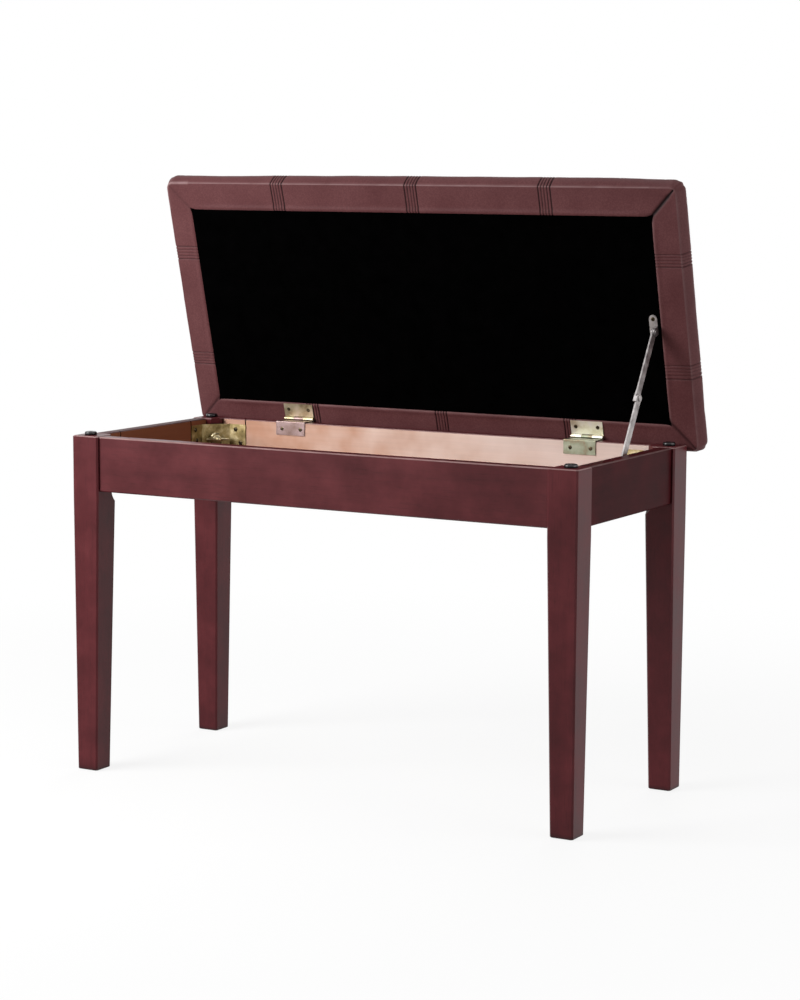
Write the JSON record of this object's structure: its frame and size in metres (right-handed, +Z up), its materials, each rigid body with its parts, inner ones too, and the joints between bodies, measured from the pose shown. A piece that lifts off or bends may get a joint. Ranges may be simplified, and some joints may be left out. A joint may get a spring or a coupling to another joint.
{
  "type": "duet piano bench",
  "caption": "Two-seat piano bench with tapered wooden legs, a storage well under a padded hinged lid, and a folding lid stay.",
  "frame": {"origin": "middle of the footprint at floor level", "axes": "+Z up, +X to the right along the bench, +Y to the back where the hinges are"},
  "size_m": [0.754, 0.3446, 0.7656],
  "materials": {
    "mahogany": "satin lacquer over red-brown stain",
    "hardboard": "plain pressed board",
    "plywood": "raw plywood",
    "foam": "upholstery foam",
    "burgundy_leather": "grained, soft sheen",
    "black_felt": "matt felt",
    "yellow_zinc": "yellow zinc plate",
    "nickel": "nickel plate",
    "hinge_zinc": "zinc plate",
    "stay_steel": "bright steel",
    "black_rubber": "glossy moulded rubber",
    "glide_nylon": "dark nylon"
  },
  "bodies": {
    "frame": {"leg_front_left": "mahogany", "leg_front_right": "mahogany", "leg_rear_left": "mahogany", "leg_rear_right": "mahogany", "apron_front": "mahogany", "apron_rear": "mahogany", "apron_left": "mahogany", "apron_right": "mahogany", "bottom_panel": "hardboard", "corner_bracket_front_left": "yellow_zinc", "corner_bracket_front_right": "yellow_zinc", "corner_bracket_rear_left": "yellow_zinc", "corner_bracket_rear_right": "yellow_zinc", "hanger_bolts": "nickel", "wing_nuts": "nickel", "lid_bumpers": "black_rubber", "foot_glides": "glide_nylon", "hinge_frame_leaf_left": "hinge_zinc", "hinge_frame_leaf_right": "hinge_zinc", "hinge_pin_left": "hinge_zinc", "hinge_pin_right": "hinge_zinc", "stay_frame_bracket": "stay_steel"},
    "lid": {"seat_board": "plywood", "seat_foam": "foam", "seat_cover": "burgundy_leather", "dust_cover": "black_felt", "hinge_lid_leaf_left": "hinge_zinc", "hinge_lid_leaf_right": "hinge_zinc", "stay_lid_bracket": "stay_steel", "stay_lid_rivet": "stay_steel"},
    "stay_upper": {"stay_upper_arm": "stay_steel", "stay_elbow_rivet": "stay_steel"},
    "stay_lower": {"stay_lower_arm": "stay_steel"}
  },
  "joints": [
    {"name": "lid_hinge", "type": "hinge", "parent": "frame", "child": "lid", "pos_m": [0, 0.1559, 0.4404], "axis": [1, 0, 0], "range_deg": [0, 75.4]},
    {"name": "stay_lid_pivot", "type": "hinge", "parent": "lid", "child": "stay_upper", "pos_m": [0.3322, 0.11348, 0.58064], "axis": [1, 0, 0], "range_deg": [-118.17, 0]},
    {"name": "stay_elbow", "type": "hinge", "parent": "stay_upper", "child": "stay_lower", "pos_m": [0.3322, 0.06602, 0.50203], "axis": [1, 0, 0], "range_deg": [0, 170.36]}
  ],
  "couplings": [
    {"joint": "stay_lid_pivot", "follows": "lid_hinge", "ratio": -1.5671},
    {"joint": "stay_elbow", "follows": "lid_hinge", "ratio": 2.2593}
  ]
}
